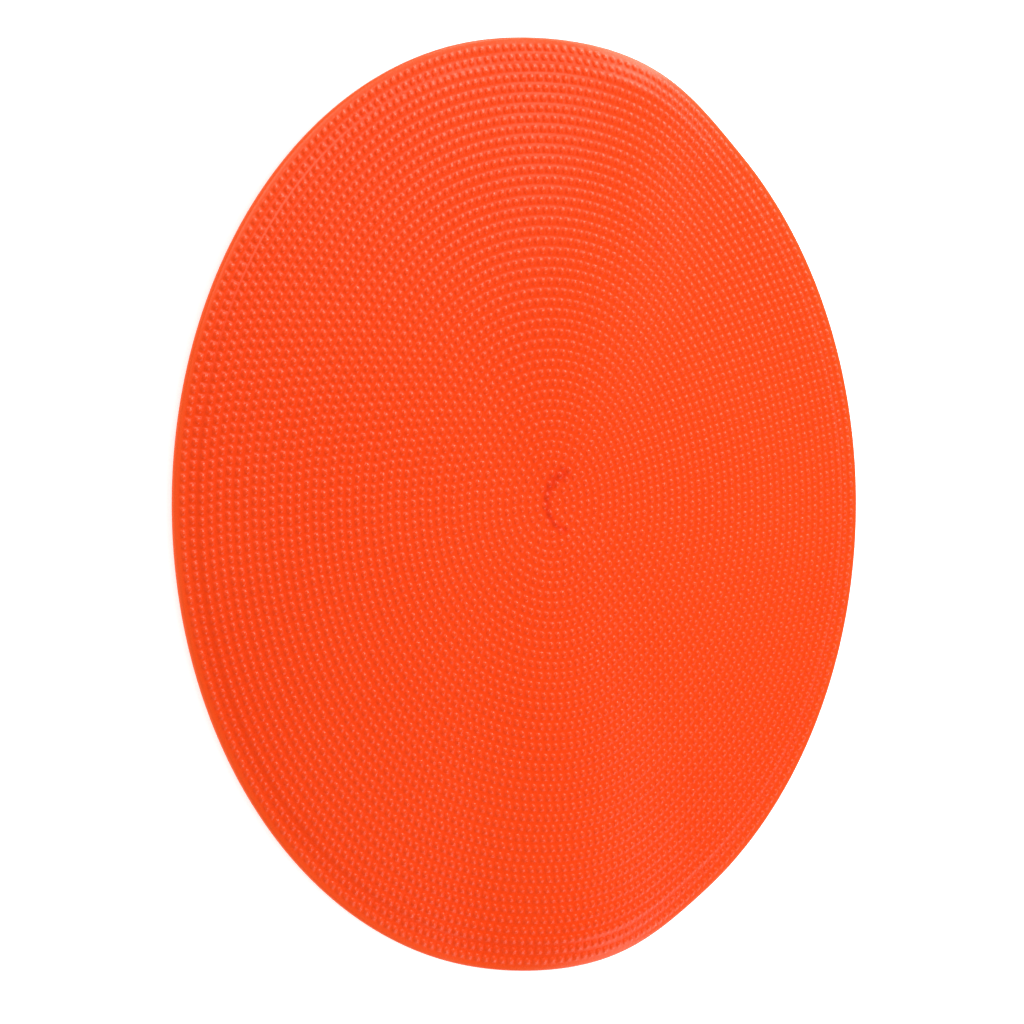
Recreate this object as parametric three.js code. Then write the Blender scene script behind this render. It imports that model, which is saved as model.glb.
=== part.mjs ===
// A round practice pad for drumsticks: a domed silicone skin, bonded over a thin rebound core and a grip
// backing that are smaller than it, so that the skin overhangs them as a plain lip.
//
// Millimetres, +Z out of the playing face. The origin is under the centre of the pad, on the plane that it
// rests on. The pad is limp, and it lies with two soft folds that start at its centre and rise towards its
// rim. The rest of its underside is flat.

import * as THREE from 'three';

// Outline
const PAD_DIAMETER = 304.8;
const LIP_WIDTH = 8.5;

// Thickness of each layer, from the underside up
const GRIP_BACKING = 0.8;
const BACKING_BOND = 0.2;
const REBOUND_CORE = 2.0;
const SKIN_BOND = 0.2;
const PLAYING_SKIN = 1.5;

// Domes of the playing face, in rings round the centre. They fill the face as a plateau of their height.
const DOME_RINGS = 45;
const DOME_DIAMETER = 2.1;
const DOME_HEIGHT = 0.4;
const PLAIN_RIM_IN_PITCHES = 1;

// Folds: direction of the crest from +X, then at the rim the angle from the crest to each foot and the height
// of the crest. The angle grows towards the centre as this power of the distance, up to the widest spread.
const FOLDS = [
  { direction: 167.5, spread: 25, height: 8.0 },
  { direction: 6.5, spread: 23, height: 6.4 },
];
const SPREAD_POWER = -0.6;
const WIDEST_SPREAD = 75;

// Fineness of the round shapes, and the circles, in parts of the core's radius, that every layer bends along
const SECTORS = 180;
const EDGE_STEPS = 6;
const BEND_CIRCLES = [0.15, 0.3, 0.5, 0.75];

const PAD_RADIUS = PAD_DIAMETER / 2;
const CORE_RADIUS = PAD_RADIUS - LIP_WIDTH;
const RING_PITCH = PAD_RADIUS / (DOME_RINGS + PLAIN_RIM_IN_PITCHES);
const DOMED_RADIUS = DOME_RINGS * RING_PITCH + DOME_DIAMETER / 2;

const MATERIALS = {
  silicone: new THREE.MeshStandardMaterial({ color: 0xf94f24, roughness: 0.45, metalness: 0 }),
  adhesive: new THREE.MeshStandardMaterial({ color: 0xe3ddc9, roughness: 0.35, metalness: 0 }),
  foam: new THREE.MeshStandardMaterial({ color: 0x3a3c40, roughness: 0.95, metalness: 0 }),
  rubber: new THREE.MeshStandardMaterial({ color: 0x1f2022, roughness: 0.8, metalness: 0 }),
};

// How far the folds lift the pad at a point: in proportion to the distance from the centre along each crest.
function lift(x, y) {
  const direction = THREE.MathUtils.radToDeg(Math.atan2(y, x));
  const reach = Math.hypot(x, y) / PAD_RADIUS;
  let height = 0;
  for (const fold of FOLDS) {
    const spread = Math.min(fold.spread * reach ** SPREAD_POWER, WIDEST_SPREAD);
    const turn = Math.abs(THREE.MathUtils.euclideanModulo(direction - fold.direction + 180, 360) - 180);
    if (turn < spread) {
      height += fold.height * (1 + Math.cos(Math.PI * turn / spread)) / 2;
    }
  }
  return height * reach;
}

// A layer turned from its section, which runs from the axis below it, round its edge, to the axis above it.
// Each four-cornered facet is cut from its inner corner to its outer corner in the next sector, so that
// layers which touch share the same facets.
function layer(name, section, material) {
  const last = section.length - 1;
  const bottom = 0;
  const top = 1;
  const positions = [0, 0, section[0][1], 0, 0, section[last][1]];
  for (let sector = 0; sector < SECTORS; sector++) {
    const angle = 2 * Math.PI * sector / SECTORS;
    for (const [radius, height] of section.slice(1, last)) {
      const x = radius * Math.cos(angle);
      const y = radius * Math.sin(angle);
      positions.push(x, y, height + lift(x, y));
    }
  }
  const corner = (sector, step) => 2 + (sector % SECTORS) * (last - 1) + step - 1;
  const facets = [];
  for (let sector = 0; sector < SECTORS; sector++) {
    facets.push(bottom, corner(sector + 1, 1), corner(sector, 1));
    for (let step = 1; step < last - 1; step++) {
      const here = [corner(sector, step), corner(sector, step + 1)];
      const next = [corner(sector + 1, step), corner(sector + 1, step + 1)];
      if (section[step + 1][0] > section[step][0]) {
        facets.push(here[0], next[0], next[1], here[0], next[1], here[1]);
      } else {
        facets.push(here[0], next[0], here[1], here[1], next[0], next[1]);
      }
    }
    facets.push(top, corner(sector, last - 1), corner(sector + 1, last - 1));
  }
  const geometry = new THREE.BufferGeometry();
  geometry.setAttribute('position', new THREE.Float32BufferAttribute(positions, 3));
  geometry.setIndex(facets);
  geometry.computeVertexNormals();
  const mesh = new THREE.Mesh(geometry, material);
  mesh.name = name;
  return mesh;
}

// Section points of a face, one on each circle that it bends along.
function bendingFace(height) {
  return BEND_CIRCLES.map((share) => [share * CORE_RADIUS, height]);
}

// Section of a flat layer with a square-cut edge.
function cutDisc(bottom, top) {
  return [
    [0, bottom],
    ...bendingFace(bottom),
    [CORE_RADIUS, bottom],
    [CORE_RADIUS, top],
    ...bendingFace(top).reverse(),
    [0, top],
  ];
}

// Section of the skin: flat underneath, a half-round edge, a plain rim, and the plateau of the domes.
function skinSection(bottom, top) {
  const edgeRadius = (top - bottom) / 2;
  const edge = [];
  for (let step = 0; step <= EDGE_STEPS; step++) {
    const angle = Math.PI * (step / EDGE_STEPS - 0.5);
    edge.push([
      PAD_RADIUS - edgeRadius * (1 - Math.cos(angle)),
      bottom + edgeRadius * (1 + Math.sin(angle)),
    ]);
  }
  return [
    [0, bottom],
    ...bendingFace(bottom),
    [CORE_RADIUS, bottom],
    ...edge,
    [DOMED_RADIUS, top],
    [DOMED_RADIUS, top + DOME_HEIGHT],
    ...bendingFace(top + DOME_HEIGHT).reverse(),
    [0, top + DOME_HEIGHT],
  ];
}

function practicePad() {
  const pad = new THREE.Group();
  const layers = [
    ['grip_backing', GRIP_BACKING, cutDisc, MATERIALS.rubber],
    ['backing_bond', BACKING_BOND, cutDisc, MATERIALS.adhesive],
    ['rebound_core', REBOUND_CORE, cutDisc, MATERIALS.foam],
    ['skin_bond', SKIN_BOND, cutDisc, MATERIALS.adhesive],
    ['playing_skin', PLAYING_SKIN, skinSection, MATERIALS.silicone],
  ];
  let bottom = 0;
  for (const [name, thickness, section, material] of layers) {
    const top = bottom + thickness;
    pad.add(layer(name, section(bottom, top), material));
    bottom = top;
  }
  return pad;
}

export default practicePad();
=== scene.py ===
"""The looks of a thin round practice pad: a domed silicone skin on a foam core and a rubber backing."""

import math

import bpy
import numpy as np
from mathutils import Matrix, Vector


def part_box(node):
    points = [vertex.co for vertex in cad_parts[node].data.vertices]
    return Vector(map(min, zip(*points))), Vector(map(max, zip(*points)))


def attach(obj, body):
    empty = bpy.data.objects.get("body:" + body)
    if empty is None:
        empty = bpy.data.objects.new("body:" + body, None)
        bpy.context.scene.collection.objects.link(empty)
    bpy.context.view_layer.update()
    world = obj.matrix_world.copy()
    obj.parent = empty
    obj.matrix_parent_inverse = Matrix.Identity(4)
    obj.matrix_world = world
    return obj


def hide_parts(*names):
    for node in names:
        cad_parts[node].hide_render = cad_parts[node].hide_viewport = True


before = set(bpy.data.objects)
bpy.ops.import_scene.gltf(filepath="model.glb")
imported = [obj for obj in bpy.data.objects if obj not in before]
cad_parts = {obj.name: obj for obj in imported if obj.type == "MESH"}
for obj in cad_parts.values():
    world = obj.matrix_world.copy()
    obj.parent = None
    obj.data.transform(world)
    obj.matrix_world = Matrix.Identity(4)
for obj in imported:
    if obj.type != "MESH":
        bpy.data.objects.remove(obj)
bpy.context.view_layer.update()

MM = 0.001
FULL_TURN = 2 * math.pi

# Sizes read from the frame, in metres
PAD_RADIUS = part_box("playing_skin")[1].x
CORE_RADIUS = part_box("rebound_core")[1].x
BACKING_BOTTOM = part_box("grip_backing")[0].z
BACKING_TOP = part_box("backing_bond")[0].z
CORE_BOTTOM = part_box("rebound_core")[0].z
CORE_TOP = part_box("skin_bond")[0].z
SKIN_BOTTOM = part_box("playing_skin")[0].z
SKIN_THICKNESS = 1.5 * MM
SKIN_TOP = SKIN_BOTTOM + SKIN_THICKNESS
EDGE_STEPS = 8

# The folds of the CAD model: direction of the crest, then at the rim the angle from the crest to each foot
# and the height of the crest. The angle grows towards the centre, up to the widest spread.
FOLDS = (
    (math.radians(167.5), math.radians(25), 8.0 * MM),
    (math.radians(6.5), math.radians(23), 6.4 * MM),
)
SPREAD_POWER = -0.6
WIDEST_SPREAD = math.radians(75)

# The crease where the folds meet: a crescent round the -Y side of a low swelling beside the pad's centre, which
# fades slowly on its open side. Painted shade: the skin's colour is darker along the foot of the crescent, as
# far as its ends in Y.
CREASE_CENTRE = (-0.7 * MM, 7.0 * MM)
CREASE_RADIUS = 9.0 * MM
CREASE_FADE = 34.0 * MM
CREASE_RISE = 0.2 * MM
CREASE_SHARPNESS = 24
FADE_SHARPNESS = 2.5
CREASE_OPENING = math.radians(82)
SHADE_RADIUS = CREASE_RADIUS + 0.4 * MM
SHADE_WIDEST = 3.6 * MM
SHADE_NARROWEST = 2.0 * MM
SHADE_ENDS = (-2.0 * MM, 2.0 * MM)
CREASE_PAINTED_SHADE = (0.82, 0.56, 0.56)

# A faint smudge on the skin
BLEMISH_CENTRE = (-87.6 * MM, 46.2 * MM)
BLEMISH_RADIUS = 3.2 * MM
BLEMISH_SHADE = (0.95, 0.78, 0.78)

# The skin rides down over the edge of the core, and hangs more where a fold holds it up
LIP_DROP = 0.35 * MM
LIP_BEND = 1.6 * MM
LIP_BEND_SHARPNESS = 3
LIP_SAG_IN_FOLDS = 0.22
LIP_SAG_POWER = 1.5

# Domes: rings round the centre, one pitch apart, that all start in the same direction. The profile is
# (share of the radius, share of the height), and sizes vary a little from dome to dome.
DOME_RINGS = 45
RING_PITCH = PAD_RADIUS / (DOME_RINGS + 1)
DOMES_PER_RING_NUMBER = 6.3
START_DIRECTION = math.radians(161.8)
DOME_RADIUS = 0.325 * RING_PITCH
DOME_HEIGHT = 0.4 * MM
DOME_PROFILE = ((1.0, 0.0), (0.86, 0.33), (0.66, 0.68), (0.38, 0.93))
DOME_SIDES = 12
DOME_SIZE_SPREAD = 0.03
DOME_HEIGHT_SPREAD = 0.05
DOME_SEED = 45
BAND_SHARE = 0.9
HUB_SHARE = 0.9
FIRST_CORNER = math.radians(-45)

# Painted light: a dome's colour is painted paler, standing in for the light its raised silicone scatters; the
# factor of its colour by the share of a dome's height
RISE_ATTRIBUTE = "rise"
DOME_PAINTED_GLOW = ((0.0, (1.0, 1.0, 1.0)), (0.4, (1.0, 1.14, 2.4)))

# Painted light: the thin edge is painted paler, standing in for light that comes through it; the factor of the
# skin's colour along this width
EDGE_GLOW_WIDTH = 6.5 * MM
EDGE_PAINTED_GLOW = (
    (0.0, (1.0, 1.0, 1.0)),
    (0.45, (1.0, 1.10, 1.5)),
    (0.7, (1.0, 1.25, 2.5)),
    (0.9, (1.0, 1.55, 5.0)),
    (1.0, (1.0, 1.80, 9.0)),
)

# Silicone: the colour's two ends, the size of its clouds, grain and pores in waves per metre, and its gloss
SILICONE_CLOUDS = ((0.3, (0.92, 0.049, 0.0015)), (0.7, (0.93, 0.054, 0.0025)))
CLOUD_WAVES = 14
GRAIN_WAVES = 900
PORE_WAVES = 2500
PORE_DEPTH = 0.02 * MM
SILICONE_ROUGHNESS = (0.24, 0.30)
SILICONE_IOR = 1.41
SILICONE_SPECULAR_LEVEL = 0.27
SILICONE_SPECULAR_TINT = (1.0, 1.0, 0.75, 1)
NO_TINT = (1.0, 1.0, 1.0)

# Plain materials: name, colour, roughness and grain in waves per metre
FOAM = ("closed_cell_foam", (0.04, 0.042, 0.048), 0.95, 1500)
RUBBER = ("grip_rubber", (0.014, 0.014, 0.016), 0.8, 900)
FILM = ("adhesive_film", (0.77, 0.72, 0.58), 0.35, 700)
DARKER_MOTTLE = 0.7
MOTTLE_DEPTH = 0.1 * MM

# Studio: the softboxes as name, direction, distance, side and watts
SOFTBOXES = (
    ("key", (-0.67, 0.60, 0.44), 0.8, 0.48, 5.0),
    ("top", (-0.36, 0.33, 0.87), 0.8, 0.2, 1.2),
    ("fill", (0.64, 0.64, 0.42), 0.7, 0.4, 1.3),
)

# Studio: the floor, and the sky's brightness as (from, brightness, to, brightness) of a direction's Y and Z
FLOOR_HALF_SIDE = 6.0
FLOOR_WHITE = (0.95, 0.95, 0.95, 1)
FLOOR_ROUGHNESS = 0.9
FLOOR_GLOW = 0.6
SKY_DEPTH = (-0.6, 1.05, 0.3, 0.30)
SKY_HORIZON = (0.1, 1.15, 0.35, 0.0)
WHITE = (1, 1, 1, 1)

# Camera: its tilt off the pad's face, its roll, and its place in its own axes
CAMERA_TILT = math.radians(42.5)
CAMERA_ROLL = math.radians(90.27)
CAMERA_OFFSET = Vector((-13.05 * MM, -2.6 * MM, 985 * MM))
CAMERA_LENS = 105.46
CAMERA_SENSOR = 36


def fold_lift(x, y):
    """Height that the folds add at points, in proportion to the distance from the centre along each crest."""
    direction = np.arctan2(y, x)
    reach = np.maximum(np.hypot(x, y) / PAD_RADIUS, 1e-6)
    height = np.zeros_like(direction)
    for crest, rim_spread, rise in FOLDS:
        spread = np.minimum(rim_spread * reach ** SPREAD_POWER, WIDEST_SPREAD)
        turn = np.abs((direction - crest + math.pi) % FULL_TURN - math.pi)
        height += rise * (1 + np.cos(math.pi * np.minimum(turn / spread, 1))) / 2
    return height * reach


def crease_lift(x, y):
    """Height of the swelling beside the centre: a sharp step at the crescent, fading slowly on its open side."""
    dx = x - CREASE_CENTRE[0]
    dy = y - CREASE_CENTRE[1]
    openness = (1 + np.cos(np.arctan2(dy, dx) - CREASE_OPENING)) / 2
    reach = CREASE_RADIUS + (CREASE_FADE - CREASE_RADIUS) * openness ** 2
    sharpness = FADE_SHARPNESS + (CREASE_SHARPNESS - FADE_SHARPNESS) * (1 - openness) ** 2
    return CREASE_RISE / (1 + (np.hypot(dx, dy) / reach) ** sharpness)


def lip_drop(x, y):
    """How far the skin hangs down past the edge of the core."""
    past = np.hypot(x, y) - CORE_RADIUS
    edge = LIP_DROP / (1 + np.exp(-LIP_BEND_SHARPNESS * past / LIP_BEND))
    overhang = np.clip(past / (PAD_RADIUS - CORE_RADIUS), 0, 1)
    return -edge - LIP_SAG_IN_FOLDS * fold_lift(x, y) * overhang ** LIP_SAG_POWER


def skin_lift(x, y):
    return fold_lift(x, y) + crease_lift(x, y) + lip_drop(x, y)


class Shell:
    """Points and faces of one closed mesh, collected patch by patch."""

    def __init__(self):
        self.points = []
        self.faces = []
        self.count = 0

    def add(self, x, y, z):
        """Adds an array of points and returns their numbers in the same layout."""
        x, y, z = np.broadcast_arrays(x, y, z)
        self.points.append(np.stack([x.ravel(), y.ravel(), z.ravel()], axis=1))
        numbers = np.arange(self.count, self.count + x.size).reshape(x.shape)
        self.count += x.size
        return numbers

    def circle(self, radius, z, count, start=0.0):
        angles = start + FULL_TURN * np.arange(count) / count
        return self.add(radius * np.cos(angles), radius * np.sin(angles), z)

    def bridge(self, outer, inner):
        """Quads between closed loops with as many points each, facing up when outer lies round inner."""
        quads = [outer, np.roll(outer, -1, -1), np.roll(inner, -1, -1), inner]
        self.faces.extend(np.stack(quads, -1).reshape(-1, 4).tolist())

    def stitch(self, outer, outer_start, inner, inner_start):
        """Triangles between two closed loops with different numbers of evenly spread points."""
        outer_step = FULL_TURN / len(outer)
        inner_step = FULL_TURN / len(inner)
        first = round((outer_start - inner_start) / inner_step)
        i = 0
        j = 0
        while i < len(outer) or j < len(inner):
            outer_next = outer_start + (i + 0.5) * outer_step
            inner_next = inner_start + (first + j + 0.5) * inner_step
            a = int(outer[i % len(outer)])
            b = int(inner[(first + j) % len(inner)])
            if j >= len(inner) or (i < len(outer) and outer_next <= inner_next):
                self.faces.append((a, int(outer[(i + 1) % len(outer)]), b))
                i += 1
            else:
                self.faces.append((a, int(inner[(first + j + 1) % len(inner)]), b))
                j += 1

    def cap(self, loops, flip=False):
        """One flat face on each closed loop."""
        rows = loops.reshape(-1, loops.shape[-1])
        self.faces.extend((rows[:, ::-1] if flip else rows).tolist())

    def build(self, name, lift):
        """Makes the mesh object, every point raised by lift(x, y)."""
        points = np.concatenate(self.points)
        # The share of a dome's height, which the painted light on the domes reads
        rise = np.clip((points[:, 2] - SKIN_TOP) / DOME_HEIGHT, 0, 1)
        points[:, 2] += lift(points[:, 0], points[:, 1])
        mesh = bpy.data.meshes.new(name)
        mesh.from_pydata(points.tolist(), [], self.faces)
        mesh.attributes.new(RISE_ATTRIBUTE, "FLOAT", "POINT").data.foreach_set("value", rise)
        mesh.shade_smooth()
        mesh.update()
        piece = bpy.data.objects.new(name, mesh)
        bpy.context.scene.collection.objects.link(piece)
        return piece


def domes_in(ring):
    return int(DOMES_PER_RING_NUMBER * ring)


def band_edges(ring):
    """Inner and outer radius of the band of skin that one ring of domes stands on."""
    middle = ring * RING_PITCH
    half = BAND_SHARE * RING_PITCH / 2
    return middle - half, middle + half


def add_domes(shell, frames, centre_x, centre_y, turn, rng):
    """Stands a dome inside each loop of frame points, one loop per row."""
    count = len(frames)
    size = 1 + DOME_SIZE_SPREAD * rng.standard_normal((count, 1))
    tallness = 1 + DOME_HEIGHT_SPREAD * rng.standard_normal((count, 1))
    angles = FIRST_CORNER + FULL_TURN * np.arange(frames.shape[1]) / frames.shape[1] + turn[:, None]
    outer = frames
    for share, height in DOME_PROFILE:
        radius = share * DOME_RADIUS * size
        inner = shell.add(
            centre_x[:, None] + radius * np.cos(angles),
            centre_y[:, None] + radius * np.sin(angles),
            SKIN_TOP + DOME_HEIGHT * height * tallness,
        )
        shell.bridge(outer, inner)
        outer = inner
    shell.cap(outer)


def add_band(shell, ring, rng):
    """One ring of domes with the skin between them. Returns its inner and outer loops and their start."""
    count = domes_in(ring)
    step = FULL_TURN / count
    inner_radius, outer_radius = band_edges(ring)
    turn = START_DIRECTION + step * np.arange(count)
    line_turn = (turn - step / 2)[:, None]
    line_radius = np.linspace(inner_radius, outer_radius, 4)[None, :]
    line = shell.add(line_radius * np.cos(line_turn), line_radius * np.sin(line_turn), SKIN_TOP)
    arc_turn = turn[:, None] + step * np.array([[-1, 1]]) / 6
    inner = shell.add(inner_radius * np.cos(arc_turn), inner_radius * np.sin(arc_turn), SKIN_TOP)
    outer = shell.add(outer_radius * np.cos(arc_turn), outer_radius * np.sin(arc_turn), SKIN_TOP)
    after = np.roll(line, -1, 0)
    frames = np.column_stack([
        line[:, 3], outer, after[:, 3], after[:, 2], after[:, 1], after[:, 0], inner[:, ::-1], line[:, :3],
    ])
    middle = ring * RING_PITCH
    add_domes(shell, frames, middle * np.cos(turn), middle * np.sin(turn), turn, rng)
    inner_loop = np.column_stack([line[:, 0], inner]).ravel()
    outer_loop = np.column_stack([line[:, 3], outer]).ravel()
    return inner_loop, outer_loop, START_DIRECTION - step / 2


def add_domed_face(shell, rng):
    """The centre dome and every ring round it. Returns the outermost loop and its start."""
    centre = np.zeros(1)
    radius = band_edges(1)[0] * HUB_SHARE
    hub = shell.circle(radius, SKIN_TOP, DOME_SIDES, FIRST_CORNER)
    add_domes(shell, hub[None, :], centre, centre, centre, rng)
    loop = hub
    start = FIRST_CORNER
    for ring in range(1, DOME_RINGS + 1):
        inner, outer, next_start = add_band(shell, ring, rng)
        shell.stitch(inner, next_start, loop, start)
        loop = outer
        start = next_start
    return loop, start


def add_skin_edge(shell, loop, start):
    """The plain rim, the half-round edge and the underside of the skin, from the last ring of domes."""
    edge_radius = SKIN_THICKNESS / 2
    for step in range(EDGE_STEPS + 1):
        angle = math.pi * (0.5 - step / EDGE_STEPS)
        radius = PAD_RADIUS - edge_radius * (1 - math.cos(angle))
        height = SKIN_BOTTOM + edge_radius * (1 + math.sin(angle))
        circle = shell.circle(radius, height, len(loop), start)
        shell.bridge(circle, loop)
        loop = circle
    for radius in (CORE_RADIUS + LIP_BEND, CORE_RADIUS, CORE_RADIUS - LIP_BEND, PAD_RADIUS / 2):
        circle = shell.circle(radius, SKIN_BOTTOM, len(loop), start)
        shell.bridge(circle, loop)
        loop = circle
    shell.cap(loop[None, :], flip=True)


def playing_skin():
    rng = np.random.default_rng(DOME_SEED)
    shell = Shell()
    loop, start = add_domed_face(shell, rng)
    add_skin_edge(shell, loop, start)
    return shell.build("silicone_skin", skin_lift)


def disc(name, bottom, top, sides=360):
    """A layer under the skin, which follows the folds."""
    shell = Shell()
    section = ((CORE_RADIUS / 2, bottom), (CORE_RADIUS, bottom), (CORE_RADIUS, top), (CORE_RADIUS / 2, top))
    loops = [shell.circle(radius, height, sides) for radius, height in section]
    shell.cap(loops[0][None, :], flip=True)
    for lower, upper in zip(loops, loops[1:]):
        shell.bridge(lower, upper)
    shell.cap(loops[-1][None, :])
    return shell.build(name, fold_lift)


def node_material(name):
    """A new material and its Principled shader, with object coordinates ready to drive its textures."""
    material = bpy.data.materials.new(name)
    material.use_nodes = True
    shader = material.node_tree.nodes["Principled BSDF"]
    place = material.node_tree.nodes.new("ShaderNodeTexCoord").outputs["Object"]
    return material, shader, place


def noise(material, place, scale, detail=3.0):
    """Noise texture; scale is its waves per metre."""
    node = material.node_tree.nodes.new("ShaderNodeTexNoise")
    node.inputs["Scale"].default_value = scale
    node.inputs["Detail"].default_value = detail
    material.node_tree.links.new(place, node.inputs["Vector"])
    return node.outputs["Fac"]


def ramp(material, factor, stops):
    """Colour ramp over a factor; stops are (position, linear colour)."""
    node = material.node_tree.nodes.new("ShaderNodeValToRGB")
    elements = node.color_ramp.elements
    while len(elements) < len(stops):
        elements.new(0.5)
    for element, (position, colour) in zip(elements, stops):
        element.position = position
        element.color = (*colour, 1)
    material.node_tree.links.new(factor, node.inputs["Fac"])
    return node.outputs["Color"]


def remap(owner, value, low, high, start=0.0, end=1.0):
    """A value that runs from start to end, stretched to run from low to high and held at both ends."""
    node = owner.node_tree.nodes.new("ShaderNodeMapRange")
    node.inputs["From Min"].default_value = start
    node.inputs["From Max"].default_value = end
    node.inputs["To Min"].default_value = low
    node.inputs["To Max"].default_value = high
    owner.node_tree.links.new(value, node.inputs["Value"])
    return node.outputs["Result"]


def bump(material, shader, height, distance, strength):
    node = material.node_tree.nodes.new("ShaderNodeBump")
    node.inputs["Distance"].default_value = distance
    node.inputs["Strength"].default_value = strength
    material.node_tree.links.new(height, node.inputs["Height"])
    material.node_tree.links.new(node.outputs["Normal"], shader.inputs["Normal"])


def multiplied(material, first, second):
    node = material.node_tree.nodes.new("ShaderNodeMix")
    node.data_type = "RGBA"
    node.blend_type = "MULTIPLY"
    node.inputs["Factor"].default_value = 1
    material.node_tree.links.new(first, node.inputs["A"])
    material.node_tree.links.new(second, node.inputs["B"])
    return node.outputs["Result"]


def calculated(owner, operation, *operands):
    """Math node; each operand is a number or a socket."""
    node = owner.node_tree.nodes.new("ShaderNodeMath")
    node.operation = operation
    for socket, operand in zip(node.inputs, operands):
        if isinstance(operand, float):
            socket.default_value = operand
        else:
            owner.node_tree.links.new(operand, socket)
    return node.outputs["Value"]


def from_point(material, place, centre):
    """Distance from a point of the pad's plan, and the two parts of that offset."""
    nodes = material.node_tree.nodes
    split = nodes.new("ShaderNodeSeparateXYZ")
    material.node_tree.links.new(place, split.inputs["Vector"])
    x = calculated(material, "SUBTRACT", split.outputs["X"], centre[0])
    y = calculated(material, "SUBTRACT", split.outputs["Y"], centre[1])
    squares = [calculated(material, "MULTIPLY", part, part) for part in (x, y)]
    return calculated(material, "SQRT", calculated(material, "ADD", *squares)), x, y


def towards_edge(material, place):
    """0 over the face, rising to 1 over the last stretch before the edge of the pad."""
    distance, _, _ = from_point(material, place, (0.0, 0.0))
    return remap(material, distance, 0.0, 1.0, PAD_RADIUS - EDGE_GLOW_WIDTH, PAD_RADIUS)


def painted_crease_shade(material, place):
    """1 in the painted shade along the foot of the crease, 0 away from it; the shade is widest at its -X end."""
    distance, x, y = from_point(material, place, CREASE_CENTRE)
    width = remap(material, x, SHADE_WIDEST, SHADE_NARROWEST, -CREASE_RADIUS, 0.0)
    aside = calculated(material, "ABSOLUTE", calculated(material, "SUBTRACT", distance, SHADE_RADIUS))
    across = calculated(material, "DIVIDE", aside, width)
    near = remap(material, across, 1.0, 0.0, 0.0, 1.0)
    front = remap(material, y, 1.0, 0.0, *SHADE_ENDS)
    return calculated(material, "MULTIPLY", near, front)


def blemish(material, place):
    """1 in the middle of a faint smudge on the skin, 0 outside it."""
    distance, _, _ = from_point(material, place, BLEMISH_CENTRE)
    return remap(material, distance, 1.0, 0.0, 0.0, BLEMISH_RADIUS)


def silicone():
    """Satin orange silicone, with faint clouds in its colour and a fine moulded grain."""
    material, shader, place = node_material("orange_silicone")
    shader.inputs["IOR"].default_value = SILICONE_IOR
    shader.inputs["Specular IOR Level"].default_value = SILICONE_SPECULAR_LEVEL
    shader.inputs["Specular Tint"].default_value = SILICONE_SPECULAR_TINT
    links = material.node_tree.links
    rise = material.node_tree.nodes.new("ShaderNodeAttribute")
    rise.attribute_name = RISE_ATTRIBUTE
    colour = ramp(material, noise(material, place, CLOUD_WAVES), SILICONE_CLOUDS)
    # The colour is multiplied by painted light at the edge and on the domes, by painted shade along the crease
    # and by a faint smudge
    for factor, stops in (
        (towards_edge(material, place), EDGE_PAINTED_GLOW),
        (painted_crease_shade(material, place), ((0.0, NO_TINT), (1.0, CREASE_PAINTED_SHADE))),
        (blemish(material, place), ((0.0, NO_TINT), (1.0, BLEMISH_SHADE))),
        (rise.outputs["Fac"], DOME_PAINTED_GLOW),
    ):
        colour = multiplied(material, colour, ramp(material, factor, stops))
    links.new(colour, shader.inputs["Base Color"])
    grain = noise(material, place, GRAIN_WAVES, 2)
    links.new(remap(material, grain, *SILICONE_ROUGHNESS), shader.inputs["Roughness"])
    bump(material, shader, noise(material, place, PORE_WAVES, 2), PORE_DEPTH, 0.3)
    return material


def plain(name, colour, roughness, grain):
    """A matt material with a mottled colour and a fine grain."""
    material, shader, place = node_material(name)
    shader.inputs["Roughness"].default_value = roughness
    darker = tuple(DARKER_MOTTLE * part for part in colour)
    mottle = ramp(material, noise(material, place, grain / 3), ((0.35, darker), (0.65, colour)))
    material.node_tree.links.new(mottle, shader.inputs["Base Color"])
    bump(material, shader, noise(material, place, grain), MOTTLE_DEPTH, 0.6)
    return material


def add_layer(piece, node, material):
    piece.data.materials.append(material)
    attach(piece, "root")
    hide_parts(node)


def add_pad():
    add_layer(playing_skin(), "playing_skin", silicone())
    core = disc("foam_core", CORE_BOTTOM, CORE_TOP)
    add_layer(core, "rebound_core", plain(*FOAM))
    backing = disc("rubber_backing", BACKING_BOTTOM, BACKING_TOP)
    add_layer(backing, "grip_backing", plain(*RUBBER))
    film = plain(*FILM)
    for node in ("backing_bond", "skin_bond"):
        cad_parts[node].data.materials.clear()
        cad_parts[node].data.materials.append(film)


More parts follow.
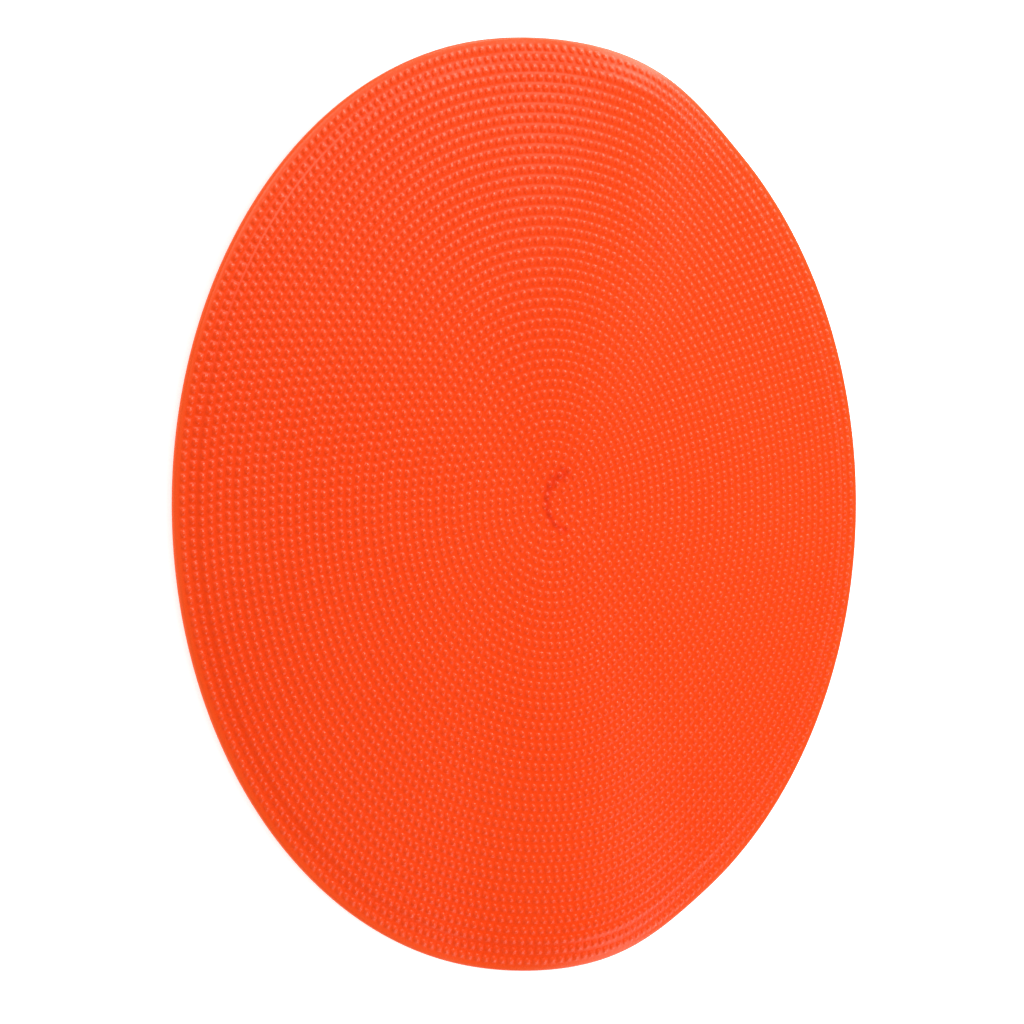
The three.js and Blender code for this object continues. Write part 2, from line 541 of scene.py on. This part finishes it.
def add_floor():
    mesh = bpy.data.meshes.new("floor")
    signs = ((-1, -1), (1, -1), (1, 1), (-1, 1))
    corners = [(x * FLOOR_HALF_SIDE, y * FLOOR_HALF_SIDE, 0) for x, y in signs]
    mesh.from_pydata(corners, [], [(0, 1, 2, 3)])
    floor = bpy.data.objects.new("floor", mesh)
    bpy.context.scene.collection.objects.link(floor)
    material, shader, _ = node_material("pale_floor")
    shader.inputs["Roughness"].default_value = FLOOR_ROUGHNESS
    shader.inputs["Base Color"].default_value = FLOOR_WHITE
    shader.inputs["Emission Color"].default_value = WHITE
    shader.inputs["Emission Strength"].default_value = FLOOR_GLOW
    mesh.materials.append(material)


def softbox(name, direction, distance, side, power):
    """A square area light that faces the pad's centre."""
    light = bpy.data.lights.new(name, "AREA")
    light.shape = "SQUARE"
    light.size = side
    light.energy = power
    lamp = bpy.data.objects.new(name, light)
    lamp.location = Vector(direction).normalized() * distance
    lamp.rotation_euler = Vector(direction).to_track_quat("Z", "Y").to_euler()
    bpy.context.scene.collection.objects.link(lamp)


def studio_sky():
    """A white studio: bright behind the camera and along the horizon, dimmer above the far side."""
    world = bpy.data.worlds.new("studio")
    world.use_nodes = True
    nodes = world.node_tree.nodes
    links = world.node_tree.links
    split = nodes.new("ShaderNodeSeparateXYZ")
    links.new(nodes.new("ShaderNodeTexCoord").outputs["Generated"], split.inputs["Vector"])
    brightness = []
    for axis, (start, bright, end, dim) in (("Y", SKY_DEPTH), ("Z", SKY_HORIZON)):
        brightness.append(remap(world, split.outputs[axis], bright, dim, start, end))
    nodes["Background"].inputs["Color"].default_value = WHITE
    links.new(calculated(world, "MAXIMUM", *brightness), nodes["Background"].inputs["Strength"])
    bpy.context.scene.world = world


def add_light():
    for name, direction, distance, side, power in SOFTBOXES:
        softbox(name, direction, distance, side, power)
    studio_sky()
    bpy.context.scene.view_settings.view_transform = "Standard"


def add_camera():
    """Looks down at the front of the pad, turned on its side so that the front is at the left."""
    camera_data = bpy.data.cameras.new("camera")
    camera_data.lens = CAMERA_LENS
    camera_data.sensor_width = CAMERA_SENSOR
    camera = bpy.data.objects.new("camera", camera_data)
    turn = Matrix.Rotation(CAMERA_TILT, 4, "X") @ Matrix.Rotation(CAMERA_ROLL, 4, "Z")
    camera.matrix_world = Matrix.Translation((0, 0, SKIN_TOP)) @ turn @ Matrix.Translation(CAMERA_OFFSET)
    bpy.context.scene.collection.objects.link(camera)
    bpy.context.scene.camera = camera


add_camera()
add_light()
add_floor()
add_pad()
